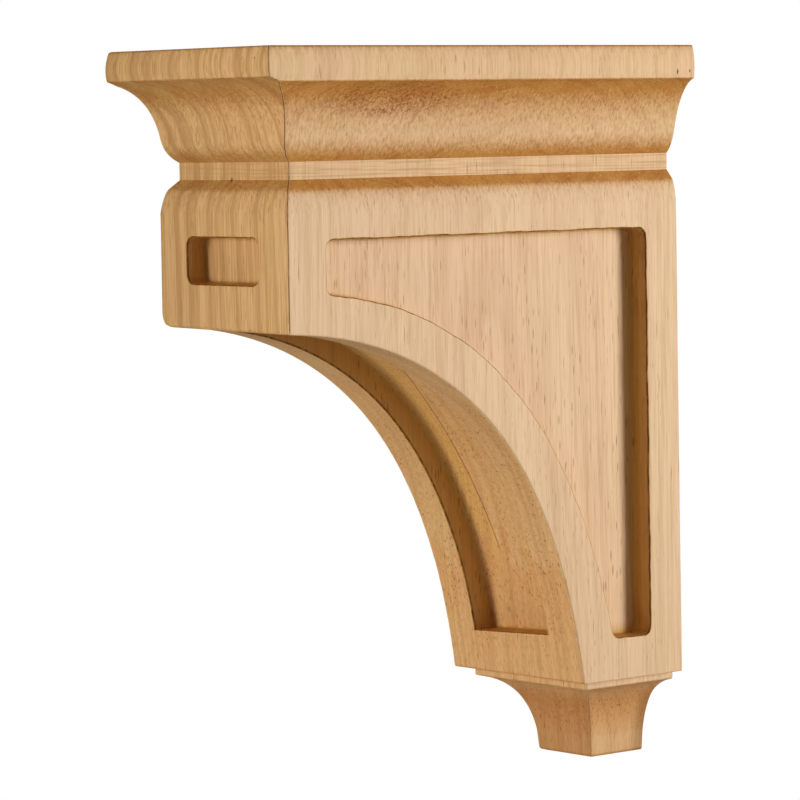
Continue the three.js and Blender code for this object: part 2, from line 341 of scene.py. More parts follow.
class Surface:
    """Vertices, faces and edge masks gathered patch by patch, then welded into one closed mesh."""

    def __init__(self):
        self.points, self.faces, self.masks, self.count = [], [], [], 0

    def grid(self, xyz, mask=None):
        """A patch of rows by columns of points; its quads join neighbours in both directions. The
        edge mask is given for each row or for each point."""
        rows, columns = xyz.shape[:2]
        index = self.count + np.arange(rows * columns).reshape(rows, columns)
        quads = np.stack([index[:-1, :-1], index[:-1, 1:], index[1:, 1:], index[1:, :-1]], -1).reshape(-1, 4)
        self.points.append(xyz.reshape(-1, 3))
        self.faces += quads.tolist()
        values = np.zeros(rows) if mask is None else np.asarray(mask, float)
        self.masks.append(np.repeat(values, columns) if values.ndim == 1 else values.reshape(-1))
        self.count += rows * columns
        return index

    def fill(self, indices):
        """One flat face over a row of points."""
        self.faces.append([int(i) for i in indices])

    def build(self, name):
        """The welded mesh as an object, with its back closed at the wall."""
        mesh = bpy.data.meshes.new(name)
        mesh.from_pydata(hand_worked(np.concatenate(self.points)) * MM, [], self.faces)
        attribute = mesh.attributes.new("edge", "FLOAT", "POINT")
        attribute.data.foreach_set("value", np.concatenate(self.masks).astype(np.float32))
        bm = bmesh.new()
        bm.from_mesh(mesh)
        bmesh.ops.remove_doubles(bm, verts=bm.verts, dist=WELD * MM)
        bmesh.ops.dissolve_degenerate(bm, edges=bm.edges, dist=SLIVER * MM)
        open_edges = [e for e in bm.edges if e.is_boundary]
        stray = [e for e in open_edges if max(abs(v.co.y) for v in e.verts) > AT_WALL * MM]
        if stray:
            raise RuntimeError("%s has %d open edges away from the wall" % (name, len(stray)))
        bmesh.ops.holes_fill(bm, edges=open_edges, sides=0)
        bmesh.ops.recalc_face_normals(bm, faces=bm.faces)
        left = [e for e in bm.edges if not e.is_manifold]
        if left:
            raise RuntimeError("%s is open at %d edges" % (name, len(left)))
        bm.to_mesh(mesh)
        bm.free()
        mesh.shade_smooth()
        mesh.set_sharp_from_angle(angle=math.radians(SMOOTH_ANGLE))
        piece = bpy.data.objects.new(name, mesh)
        bpy.context.collection.objects.link(piece)
        return piece


def sections(side, front, drops, side_steps):
    """Rows of a U-shaped section with eased front corners. At each drop the section runs from the
    wall along -X, round the corner, across the front and back to the wall along +X."""
    a = np.interp(drops, side[:, 1], side[:, 0])[:, None]
    b = np.interp(drops, front[:, 1], front[:, 0])[:, None]
    stations, steps = np.linspace(0, 1, side_steps + 1), np.linspace(0, 1, SIDE_STEPS + 1)
    run = np.interp(stations, steps, SIDE_SHARES)[None, :]
    turn = np.radians(np.linspace(0.0, 90.0, ROUND_STEPS + 1))[None, 1:-1]
    across = ACROSS_SHARES[None, :]
    x = np.hstack([-a + 0 * run, -(a - EDGE) - EDGE * np.cos(turn), (a - EDGE) * across])
    y = np.hstack([-(b - EDGE) * run, -(b - EDGE) - EDGE * np.sin(turn), -b + 0 * across])
    corner = np.flip(-x[:, : x.shape[1] - across.shape[1]], 1)
    x = np.hstack([x, corner])
    y = np.hstack([y, np.flip(y[:, : corner.shape[1]], 1)])
    z = np.repeat(height_of(drops)[:, None], x.shape[1], 1)
    return np.stack([x, y, z], -1)


def corner_mask(rows, side_steps):
    """Edge mask of a section grid: a line of painted shade round the two front corners, nothing elsewhere."""
    half = np.concatenate([np.zeros(side_steps), CORNER_SHADE_SHAPE, np.zeros(WIDTH_STEPS // 2)])
    line = np.concatenate([half, half[-2::-1]])
    return np.repeat(line[None, :], rows, 0)


# The sweep: its curve in (reach, drop), the normals into the wood and the run along it
SWEEP, SWEEP_NORMALS = fine([(BODY_DEPTH - APRON_EASE, CROWN), (SWEEP_HEEL_DEPTH, CROWN + SWEEP_HEEL_DROP),
                             (STEM_DEPTH, BODY_BOTTOM)], SWEEP_POINTS)
SWEEP_RUN = run_along(SWEEP)


def inside_sweep(run, depth):
    """Points (reach, drop) at a run along the sweep, the given depth inside it."""
    line = SWEEP + depth * SWEEP_NORMALS
    return np.stack([np.interp(run, SWEEP_RUN, line[:, k]) for k in (0, 1)], 1)


def outline_path():
    """The body's side outline from the shoulder down the apron, along the sweep and under the stem,
    as (reach, drop), with the stretches it is made of."""
    sweep = inside_sweep(np.linspace(0, SWEEP_RUN[-1] - STEM_EASE, SWEEP_STEPS + 1), 0.0)
    apron = np.linspace((BODY_DEPTH, SHOULDER), (BODY_DEPTH, CROWN - APRON_EASE), APRON_STEPS + 1)
    bottom = np.linspace((STEM_DEPTH - STEM_EASE, BODY_BOTTOM), (0, BODY_BOTTOM), BOTTOM_STEPS + 1)
    crown = curve(apron[-1], (BODY_DEPTH, CROWN), sweep[0], EASE_STEPS)
    stem = curve(sweep[-1], (STEM_DEPTH, BODY_BOTTOM), bottom[0], EASE_STEPS)
    parts = {"apron": apron, "crown": crown, "sweep": sweep, "stem": stem, "bottom": bottom}
    path = np.vstack([apron] + [parts[k][1:] for k in ("crown", "sweep", "stem", "bottom")])
    return path, parts


def round_corners(left, right, high, low, radius):
    """The rounded corners of an upright panel outline: half of the first, then the others in turn,
    and the first one's other half last."""
    first = (left + radius, high + radius)
    return [circle(first, radius, 225, 270, CORNER_POINTS // 2),
            circle((right - radius, high + radius), radius, 270, 360, CORNER_POINTS),
            circle((right - radius, low - radius), radius, 0, 90, CORNER_POINTS),
            circle((left + radius, low - radius), radius, 90, 180, CORNER_POINTS),
            circle(first, radius, 180, 225, CORNER_POINTS // 2)]


def side_panel_path():
    """The side panel's outline as (reach, drop), in stretches that pair with the outer edge's."""
    r = PANEL_CORNER
    front_end = BODY_DEPTH - SIDE_FRONT_RAIL
    front_corner = np.array([front_end, CROWN - PANEL_EDGE_RISE])
    heel = np.array([SWEEP_HEEL_DEPTH - PANEL_HEEL_BACK, CROWN + SWEEP_HEEL_DROP - PANEL_HEEL_RISE])
    foot_corner = np.array([STEM_DEPTH - PANEL_STEM_RAIL, SIDE_PANEL_BOTTOM])
    edge = curve(front_corner, heel, foot_corner, PANEL_EDGE_POINTS)
    start = round(PANEL_EDGE_POINTS * r / (2 * math.dist(heel, front_corner)))
    stop = PANEL_EDGE_POINTS - round(PANEL_EDGE_POINTS * r / (2 * math.dist(foot_corner, heel)))
    back_high, front_high, _, back_low, back_end = round_corners(RAIL, front_end, SIDE_PANEL_TOP,
                                                                 SIDE_PANEL_BOTTOM, r)
    pieces = [
        back_high,
        front_high,
        curve(front_corner - (0, r), front_corner, edge[start], CORNER_POINTS),
        edge[start:stop + 1],
        curve(edge[stop], foot_corner, foot_corner - (r, 0), CORNER_POINTS),
        back_low,
        back_end,
    ]
    ends = np.cumsum([len(p) for p in pieces])
    path = np.vstack(pieces)
    run = run_along(path)

    def middle(k):
        return (run[ends[k - 1]] + run[ends[k] - 1]) / 2

    marks = [0.0, middle(1), middle(2) - EASE_PAIR, middle(2) + EASE_PAIR, middle(4) - EASE_PAIR,
             middle(4) + EASE_PAIR, middle(5), run[-1]]
    counts = [SIDE_STEPS, APRON_STEPS, EASE_STEPS, SWEEP_STEPS, EASE_STEPS, BOTTOM_STEPS, BACK_STEPS]
    return along(path, stations_between(marks, counts))


def stations_between(marks, counts):
    """Even places between each two marks, by the count of steps given for that stretch."""
    return np.concatenate([np.linspace(a, b, n + 1)[:-1] for a, b, n in zip(marks, marks[1:], counts)])


def sunk_rows(depth):
    """Rows from the face over the lip, down the wall and round the fillet to the floor, each as
    (distance into the panel, depth, edge mask)."""
    rows = []
    turns = np.radians(np.linspace(0, 90, ROUND_STEPS + 1))
    for a in turns:
        rows.append((-PANEL_LIP * (1 - math.sin(a)), PANEL_LIP * (1 - math.cos(a)), LIP_LINE * min(1, 3 * a)))
    # The wall and the fillet at its foot carry painted shade, deepest towards the floor
    for down, shade_share in zip((WALL_HIGH, depth / 2, depth - WALL_LOW), WALL_SHADE):
        rows.append((0.0, down, shade_share * SHADED_RECESS))
    for a in turns:
        rows.append((PANEL_FILLET * (1 - math.cos(a)), depth - PANEL_FILLET * (1 - math.sin(a)), SHADED_RECESS))
    return rows


# Rows from a face's outer edge to the panel's lip, and from the foot of the wall to the closing
# point of the floor: (share of the way, edge mask); the first floor row carries painted shade beside the wall
RING = ((0.0, 0.8), (0.035, 0.3), (0.14, 0.0), (0.5, 0.0), (0.86, 0.0), (0.965, 0.0))
FLOOR = ((0.012, -0.5), (0.04, 0.0), (0.5, 0.0), (1.0, 0.0))


def framed_panel(outer, inner, place, deep, closing=None, plain=0, shadowed_columns=0):
    """A face with a sunk panel: rows blend from the face's outer edge to the panel's outline, drop
    over its lip and wall, and close over the floor towards one point. The first plain columns run
    where the face carries on upwards, so they have no worn, highlighted edge; along the last columns,
    as many as the last argument gives, the floor carries a painted shadow beside its wall."""
    lip = offset(inner, -PANEL_LIP, True)
    rows = [place((1 - t) * outer + t * lip, 0.0) for t, _ in RING]
    masks = [mask for _, mask in RING]
    for distance, depth, mask in sunk_rows(deep):
        rows.append(place(offset(inner, distance, True), depth))
        masks.append(mask)
    if closing is not None:
        floor = offset(inner, PANEL_FILLET, True)
        rows += [place((1 - t) * floor + t * np.array(closing), deep) for t, _ in FLOOR]
        masks += [mask for _, mask in FLOOR]
    rows = np.stack(rows)
    rows = np.concatenate([rows, rows[:, :1]], 1)
    masks = np.repeat(np.array(masks)[:, None], rows.shape[1], 1)
    masks[: len(RING), :plain] = 0.0
    # Painted shadow on the floor beside the rear wall
    if shadowed_columns:
        masks[-len(FLOOR), -shadowed_columns:] = SHADED_RECESS
        masks[1 - len(FLOOR), -shadowed_columns:] = FLOOR_SHADOW * SHADED_RECESS
    return rows, masks


def ring(first, second):
    """Closed loop of (across, along) from two runs: over, down, back and up."""
    return np.vstack([
        np.column_stack([first, np.full(len(first), second[0])])[:-1],
        np.column_stack([np.full(len(second), first[-1]), second])[:-1],
        np.column_stack([first[::-1], np.full(len(first), second[-1])])[:-1],
        np.column_stack([np.full(len(second), first[0]), second[::-1]])[:-1],
    ])


def carve_cap(skin):
    """The moulded cap down to the shoulder, closed on top."""
    side, front = cap_profile(HALF, CAP_SIDE), cap_profile(BODY_DEPTH, CAP_FRONT)
    drops = levels((0, TOP_EDGE, 4), (TOP_EDGE, CAP_FRONT["fascia"] - LIP_EASE, 8),
                   (CAP_FRONT["fascia"] - LIP_EASE, CAP_FRONT["fascia"], 5),
                   (CAP_SIDE["fascia"] - LIP_EASE, CAP_SIDE["fascia"], 5),
                   (CAP_SIDE["fascia"], WAIST, 22), (WAIST, NECK_TOP, 12), (NECK_TOP, NECK_BOTTOM, 4),
                   (NECK_BOTTOM, SLOPE_BOTTOM, 4), (SLOPE_BOTTOM, SHOULDER, 10))
    cap = skin.grid(sections(side, front, drops, SIDE_STEPS), corner_mask(len(drops), SIDE_STEPS))
    skin.fill(cap[0])


def carve_sides(skin, path, parts):
    """Both side faces with their sunk panels, and the rounded edges along the outline."""
    cut = len(parts["apron"]) + EASE_STEPS + np.arange(SWEEP_STEPS)
    stray = np.zeros(len(path))
    stray[cut] = uneven(run_along(path)[cut] * EDGE_STRAY_RATE)
    stray[cut] *= np.sin(np.linspace(0, math.pi, SWEEP_STEPS)) ** 0.5
    inset = offset(path, EDGE * (1 + EDGE_STRAY * stray[:, None]), False)
    top_edge = np.stack([(BODY_DEPTH - EDGE) * SIDE_SHARES, np.full(SIDE_STEPS + 1, SHOULDER)], 1)
    back_edge = np.linspace((0, BODY_BOTTOM - EDGE), (0, SHOULDER), BACK_STEPS + 1)
    outer = np.vstack([top_edge[:-1], inset[:-1], back_edge[:-1]])
    inner = side_panel_path()
    inner = offset(inner, PANEL_STRAY * uneven(run_along(inner))[:, None], True)
    turns = np.radians(np.linspace(0, 90, ROUND_STEPS + 1))
    for sign in (-1, 1):
        def on_side(points, depth):
            x = np.full(len(points), sign * (HALF - depth))
            return np.stack([x, -points[:, 0], height_of(points[:, 1])], 1)

        skin.grid(*framed_panel(outer, inner, on_side, SIDE_PANEL_DEPTH, SIDE_FLOOR_POINT,
                                SIDE_STEPS, BACK_STEPS))
        strip = []
        for a in turns:
            line = path + (inset - path) * (1 - math.sin(a))
            strip.append(on_side(line, EDGE - EDGE * math.cos(a)))
        # Pale worn rounded edge, partly a painted highlight
        strip_mask = np.full((len(strip), len(path)), WORN_HIGHLIT_EDGE)
        # Along the apron's upright corner the rounded edge carries a line of painted shade
        strip_mask[:, : len(parts["apron"])] = np.array(CORNER_SHADE_SHAPE)[:, None]
        skin.grid(np.stack(strip), strip_mask)


def across_front(points):
    """Rows of points right across the body, one for each (reach, drop)."""
    x = np.repeat(ACROSS[None, :], len(points), 0)
    y = np.repeat(-points[:, :1], len(ACROSS), 1)
    z = np.repeat(height_of(points[:, 1:]), len(ACROSS), 1)
    return np.stack([x, y, z], -1)


def carve_apron(skin, apron):
    """The apron's front with its small panel."""
    high, low = FRONT_PANEL_TOP, FRONT_PANEL_BOTTOM
    small = np.vstack(round_corners(-HALF_PANEL, HALF_PANEL, high, low, PANEL_CORNER))
    wide, tall = 2 * HALF_PANEL, low - high
    trim = 2 * PANEL_CORNER - math.pi * PANEL_CORNER / 2
    share = run_along(small)[-1] / (2 * (wide + tall) - 4 * trim)
    marks = np.cumsum([0, wide - trim, tall - trim, wide - trim, tall - trim]) * share
    stations = stations_between(marks, [WIDTH_STEPS, APRON_STEPS, WIDTH_STEPS, APRON_STEPS])

    def on_front(points, depth):
        y = np.full(len(points), depth - BODY_DEPTH)
        return np.stack([points[:, 0], y, height_of(points[:, 1])], 1)

    skin.grid(*framed_panel(ring(ACROSS, apron[:, 1]), along(small, stations), on_front, FRONT_PANEL_DEPTH,
                            (0.0, (high + low) / 2), WIDTH_STEPS))


def channel_limits(depth):
    """Runs along the sweep between which the channel is open at a depth. Its end walls stand upright
    and level, however deep the row is."""
    line = SWEEP + depth * SWEEP_NORMALS
    first = np.interp(RAIL - BODY_DEPTH, -line[:, 0], SWEEP_RUN)
    return first, np.interp(CHANNEL_BOTTOM, line[:, 1], SWEEP_RUN)


def carve_sweep(skin):
    """The face of the sweep with its channel, placed by the run along the sweep."""
    first, last = channel_limits(0.0)

    def on_sweep(points, depth):
        first_here, last_here = channel_limits(depth)
        share = (points[:, 1] - first) / (last - first)
        line = inside_sweep(first_here + share * (last_here - first_here), depth)
        return np.stack([points[:, 0], -line[:, 0], height_of(line[:, 1])], 1)

    cut_run = np.linspace(0, SWEEP_RUN[-1] - STEM_EASE, SWEEP_STEPS + 1)
    channel_run = np.linspace(first, last, SWEEP_STEPS + 1)
    channel_across = np.linspace(-HALF_PANEL, HALF_PANEL, WIDTH_STEPS + 1)
    skin.grid(*framed_panel(ring(ACROSS, cut_run), ring(channel_across, channel_run), on_sweep,
                            CHANNEL_DEPTH))
    for run in (channel_across, channel_run):
        run[[0, -1]] += (PANEL_FILLET, -PANEL_FILLET)
    floor = [on_sweep(np.column_stack([channel_across, np.full(WIDTH_STEPS + 1, place)]), CHANNEL_DEPTH)
             for place in channel_run]
    # The channel's floor carries a light painted shade
    skin.grid(np.stack(floor), np.full(len(floor), CHANNEL_FLOOR_SHADE))


def carve_foot(skin, bottom):
    """The underside of the stem, then the fillet and the foot, closed below."""
    side, front = foot_profile("side"), foot_profile("front")
    drops = levels((BODY_BOTTOM, FILLET_BOTTOM - FILLET_EASE, 2),
                   (FILLET_BOTTOM - FILLET_EASE, FILLET_BOTTOM, 4), (FILLET_BOTTOM, FOOT_COVE_BOTTOM, 26),
                   (FOOT_COVE_BOTTOM, HEIGHT - FOOT_EASE, 4), (HEIGHT - FOOT_EASE, HEIGHT, 5))
    foot = sections(side, front, drops, BOTTOM_STEPS)
    back_y = -bottom[::-1, 0]
    front_y = np.full(WIDTH_STEPS + 1 + 2 * (ROUND_STEPS - 1), back_y[-1])
    side_x = np.full(BOTTOM_STEPS + ROUND_STEPS, ACROSS[0])
    x = np.concatenate([side_x, ACROSS, -side_x])
    y = np.concatenate([back_y, front_y, back_y[::-1]])
    outer = np.column_stack([x, y, np.full(len(x), height_of(BODY_BOTTOM))])
    skin.grid(np.stack([outer, (outer + foot[0]) / 2, foot[0]]))
    # The foot's front corners carry a weaker line of painted shade
    end = skin.grid(foot, corner_mask(len(drops), BOTTOM_STEPS) * FOOT_CORNER_SHADE)
    skin.fill(end[-1])


def carve_corbel():
    """The whole bracket as one welded skin."""
    skin = Surface()
    path, parts = outline_path()
    carve_cap(skin)
    carve_sides(skin, path, parts)
    skin.grid(across_front(parts["crown"]))
    skin.grid(across_front(parts["stem"]))
    carve_apron(skin, parts["apron"])
    carve_sweep(skin)
    carve_foot(skin, parts["bottom"])
    return skin.build("corbel_block")


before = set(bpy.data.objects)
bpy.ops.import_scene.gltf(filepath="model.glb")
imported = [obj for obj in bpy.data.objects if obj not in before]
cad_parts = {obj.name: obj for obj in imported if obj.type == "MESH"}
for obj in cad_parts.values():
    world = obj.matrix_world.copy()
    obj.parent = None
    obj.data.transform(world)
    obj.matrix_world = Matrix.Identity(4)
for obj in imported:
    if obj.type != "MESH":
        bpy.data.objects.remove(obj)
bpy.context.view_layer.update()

corbel = carve_corbel()
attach(corbel, "root")
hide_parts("corbel")

# Wood finish

def paint(red, green, blue):
    """A colour given in screen shares, as the linear colour a shader takes."""
    shares = [s / 12.92 if s <= 0.04045 else ((s + 0.055) / 1.055) ** 2.4 for s in (red, green, blue)]
    return (*shares, 1.0)


STRAW = paint(0.925, 0.795, 0.635)
PINKISH = paint(0.925, 0.780, 0.640)
STREAK = paint(0.750, 0.575, 0.385)
GOLDEN = paint(1.0, 0.985, 0.88)
RING_DARK = paint(0.74, 0.60, 0.46)
BROWNER = paint(0.985, 0.945, 0.90)
FLECK = paint(0.93, 0.80, 0.60)
FRONT_TINT = paint(0.985, 0.955, 0.890)
END_TINT = paint(0.885, 0.835, 0.690)
END_BROWN = paint(0.855, 0.77, 0.595)
SIDE_END = paint(1.0, 0.935, 0.79)
SPECK = paint(0.76, 0.61, 0.43)
PORE = paint(0.61, 0.45, 0.31)
LEFT_TINT = paint(0.925, 0.93, 0.90)
LOW_TINT = paint(0.965, 0.965, 0.955)
CAP_TINT = paint(0.99, 0.975, 0.93)
RING_TINT = paint(0.84, 0.70, 0.55)
# Painted shade inside the sunk panels
RECESS_SHADE_TINT = paint(0.92, 0.865, 0.63)
LIP_TINT = paint(0.58, 0.45, 0.32)
# Pale worn edges, partly a painted highlight
WORN_AND_HIGHLIGHT = paint(0.93, 0.80, 0.64)
# Painted shade along the rounded upright corners
CORNER_SHADE_TINT = paint(0.70, 0.56, 0.40)
RUST = paint(0.74, 0.56, 0.37)
FOOT_FRONT = paint(0.88, 0.815, 0.75)
FOOT_SIDE = paint(0.955, 0.90, 0.80)
# Painted contact shade at the rear of the foot
REAR_SHADE_TINT = paint(0.78, 0.72, 0.64)
PIT = paint(0.25, 0.15, 0.07)

# Growth rings stand round a pith outside the block, in millimetres from the origin
PITH = (-80.0, -85.0, 0.0)

# Small pits in the faces: centre and half width, in millimetres from the origin
PITS = (((45.0, -8.2, 117.5), 0.55), ((45.0, -2.3, 117.8), 0.4), ((-0.6, -171.6, 83.0), 0.55),
        ((37.5, -190.5, 123.0), 0.3))


class Finish:
    """Lays out the nodes of one material; each method adds a node and gives its output."""

    def __init__(self, name):
        self.material = bpy.data.materials.new(name)
        self.material.use_nodes = True
        self.tree = self.material.node_tree
        self.shader = self.tree.nodes["Principled BSDF"]

    def node(self, kind, values, output=0, **options):
        """A node with its options set, its inputs filled, and the chosen output given back."""
        made = self.tree.nodes.new(kind)
        for key, value in options.items():
            setattr(made, key, value)
        for key, value in values.items():
            self.fill(made.inputs[key], value)
        return made.outputs[output]

    def fill(self, socket, value):
        if isinstance(value, bpy.types.NodeSocket):
            self.tree.links.new(value, socket)
        else:
            socket.default_value = value

    def sum(self, kind, a, b=0.0):
        return self.node("ShaderNodeMath", {0: a, 1: b}, operation=kind)

    def times(self, first, *others):
        """The product of all the values, from the left."""
        for other in others:
            first = self.sum("MULTIPLY", first, other)
        return first

    def rest(self, share):
        return self.sum("SUBTRACT", 1.0, share)

    def axes(self, vector):
        """The X, Y and Z parts of a vector."""
        apart = self.tree.nodes.new("ShaderNodeSeparateXYZ")
        self.fill(apart.inputs[0], vector)
        return apart.outputs

    def vector(self, kind, a, b=(0, 0, 0), output=0):
        return self.node("ShaderNodeVectorMath", {0: a, 1: b}, output, operation=kind)

    def stretched(self, place, sizes, shift=(0, 0, 0)):
        """Coordinates in which a pattern's features come out sizes millimetres long."""
        return self.node("ShaderNodeMapping", {"Vector": place, "Location": shift,
                                               "Scale": tuple(1 / s for s in sizes)})

    def noise(self, place, sizes, detail=2.0, rough=0.5, shift=(0, 0, 0)):
        return self.node("ShaderNodeTexNoise", {"Vector": self.stretched(place, sizes, shift), "Scale": 1.0,
                                                "Detail": detail, "Roughness": rough})

    def waves(self, run, size, detail=2.0, rough=0.55):
        """Noise along one run, given in millimetres."""
        return self.node("ShaderNodeTexNoise", {"W": self.sum("DIVIDE", run, size), "Scale": 1.0,
                                                "Detail": detail, "Roughness": rough}, noise_dimensions="1D")

    def spread(self, value, low, high, start=0.0, end=1.0, smooth=True):
        """Maps low..high to start..end and holds the ends."""
        kind = "SMOOTHSTEP" if smooth else "LINEAR"
        return self.node("ShaderNodeMapRange", {"Value": value, "From Min": low, "From Max": high,
                                                "To Min": start, "To Max": end}, interpolation_type=kind)

    def blend(self, share, a, b, kind="MIX"):
        return self.node("ShaderNodeMix", {0: share, 6: a, 7: b}, 2, data_type="RGBA", blend_type=kind)

    def tinted(self, share, tone, tint):
        """The tone multiplied by the tint, to the given share."""
        return self.blend(share, tone, self.blend(1.0, tone, tint, "MULTIPLY"))

    def spots(self, place, cell, radius, soft, kept, shift=(0, 0, 0)):
        """Scattered grains: one in each cell, kept where its random shade is below kept."""
        cells = self.tree.nodes.new("ShaderNodeTexVoronoi")
        self.fill(cells.inputs["Vector"], self.stretched(place, cell, shift))
        cells.inputs["Scale"].default_value = 1.0
        shade = self.node("ShaderNodeSeparateColor", {"Color": cells.outputs["Color"]})
        grain = self.spread(cells.outputs["Distance"], radius, radius + soft, 1.0, 0.0)
        return self.times(grain, self.spread(shade, kept, kept + 0.02, 1.0, 0.0, smooth=False))


def pale_hardwood():
    """Bare sanded hardwood in object millimetres. Upright faces show straight grain: tones that follow
    the distance from the pith, fibres and pores drawn out along Z. Faces across the grain turn to
    darker end grain with ring lines and dots."""
    wood = Finish("pale_hardwood")
    spot = wood.tree.nodes.new("ShaderNodeTexCoord")
    place = wood.node("ShaderNodeVectorMath", {0: spot.outputs["Object"], "Scale": 1 / MM}, operation="SCALE")
    x, y, z = wood.axes(place)
    facing_x, facing_y, facing_z = wood.axes(spot.outputs["Normal"])
    upward = wood.sum("ABSOLUTE", facing_z)

    # Where a point is: on the flat back or an end, on a front face, on a surface across the grain, on
    # a rounded edge, or above the cut; streaky faces show their grain most
    backward = wood.spread(facing_y, 0.5, 0.9)
    end_face = wood.spread(wood.sum("ABSOLUTE", z), height_of(0.1), height_of(0.02))
    carved = wood.rest(wood.sum("MAXIMUM", backward, end_face))
    cap_share = wood.spread(z, height_of(SHOULDER), height_of(SLOPE_BOTTOM), 0.45, 1.0)
    speckle = wood.noise(place, (0.9, 0.9, 2.4), 3.0, 0.7, (0, 5, 9))
    ragged = wood.sum("ADD", upward, wood.spread(speckle, 0.3, 0.7, -0.09, 0.09))
    frontal = wood.spread(wood.sum("ABSOLUTE", facing_y), 0.3, 0.9)
    ragged = wood.sum("SUBTRACT", ragged, wood.times(frontal, 0.12))
    across = wood.times(wood.spread(ragged, 0.12, 0.62), cap_share)
    edge = wood.times(wood.node("ShaderNodeAttribute", {}, 2, attribute_name="edge"), carved)
    rounded = wood.times(wood.spread(edge, 0.2, 0.7), wood.spread(edge, 1.0, 1.2, 1.0, 0.0))
    across = wood.times(across, wood.rest(wood.times(rounded, 0.8)))
    above_cut = wood.spread(z, height_of(CROWN) - 3.0, height_of(CROWN))
    streaky = wood.times(frontal, wood.spread(above_cut, 0.0, 1.0, 0.35, 1.0))
    streaky = wood.times(streaky, wood.spread(across, 0.0, 1.0, 1.0, 0.4))

    # Distance from the pith, made slightly uneven
    sway = wood.node("ShaderNodeTexNoise", {"Vector": wood.stretched(place, (46, 46, 210)), "Scale": 1.0,
                                            "Detail": 1.0}, 1)
    sway = wood.vector("MULTIPLY", wood.vector("SUBTRACT", sway, (0.5, 0.5, 0.5)), (18, 18, 0))
    flat = wood.vector("MULTIPLY", wood.vector("SUBTRACT", place, PITH), (1, 1, 0))
    reach = wood.vector("LENGTH", wood.vector("ADD", flat, sway), output=1)

    tone = wood.blend(wood.spread(wood.waves(reach, 11.0), 0.30, 0.70), STRAW, PINKISH)
    bands = wood.spread(wood.waves(wood.sum("ADD", reach, 311.0), 3.2, 4.0, 0.65), 0.42, 0.64)
    tone = wood.blend(wood.times(bands, wood.spread(streaky, 0.0, 1.0, 0.20, 0.62)), tone, STREAK)
    fibre = wood.noise(place, (1.0, 1.0, 46.0), 3.0, 0.7)
    fibres = wood.times(wood.spread(fibre, 0.46, 0.68), wood.spread(streaky, 0.0, 1.0, 0.26, 0.52))
    tone = wood.blend(fibres, tone, STREAK)
    hair = wood.noise(place, (0.5, 0.5, 17.0), 2.0, 0.65, (7, 3, 0))
    hairs = wood.times(wood.spread(hair, 0.48, 0.76), wood.spread(streaky, 0.0, 1.0, 0.46, 0.85))
    tone = wood.blend(hairs, tone, STREAK)
    tone = wood.tinted(frontal, tone, FRONT_TINT)

    # A shade darker to the left of the front, and on the sides towards the foot and over the cap
    sidelong = wood.sum("SUBTRACT", wood.sum("ABSOLUTE", facing_x), wood.sum("ABSOLUTE", facing_y))
    sidelong = wood.spread(sidelong, -0.02, 0.10)
    lefthand = wood.times(wood.spread(x, -42.0, 22.0, 1.0, 0.0), frontal, carved, above_cut)
    tone = wood.tinted(lefthand, tone, LEFT_TINT)
    low_side = wood.times(wood.spread(z, -120.0, 60.0, 1.0, 0.0), sidelong)
    tone = wood.tinted(low_side, tone, LOW_TINT)
    cap_side = wood.spread(z, height_of(SLOPE_BOTTOM) - 2.0, height_of(SLOPE_BOTTOM))
    tone = wood.tinted(wood.times(cap_side, sidelong), tone, CAP_TINT)

    # Fine lines left along the neck by the cutter
    necked = wood.times(wood.spread(z, height_of(NECK_BOTTOM), height_of(NECK_BOTTOM) + 0.3),
                        wood.spread(z, height_of(NECK_TOP) - 0.3, height_of(NECK_TOP), 1.0, 0.0), carved)
    cutter = wood.spread(wood.noise(place, (34.0, 34.0, 0.8), 2.0, 0.6, (2, 6, 4)), 0.46, 0.66, 0.0, 0.55)
    tone = wood.blend(wood.times(cutter, necked), tone, STREAK)

    # End grain
    ringed = wood.waves(wood.sum("ADD", reach, 57.0), 7.5, 2.0, 0.5)
    lines = wood.spread(wood.sum("ABSOLUTE", wood.sum("SUBTRACT", ringed, 0.5)), 0.0, 0.03, 1.0, 0.0)
    ring_share = wood.spread(across, 0.0, 1.0, 0.04, 0.32)
    patchy = wood.noise(place, (11, 11, 16), 2.0, 0.5, (3, 0, 1))
    end_tone = wood.blend(wood.spread(patchy, 0.40, 0.62), END_TINT, END_BROWN)
    end_tone = wood.blend(wood.spread(speckle, 0.46, 0.72, 0.0, 0.62), end_tone, SPECK)
    end_tone = wood.tinted(sidelong, end_tone, SIDE_END)
    tone = wood.tinted(across, tone, end_tone)
    tone = wood.tinted(wood.times(lines, ring_share), tone, RING_TINT)

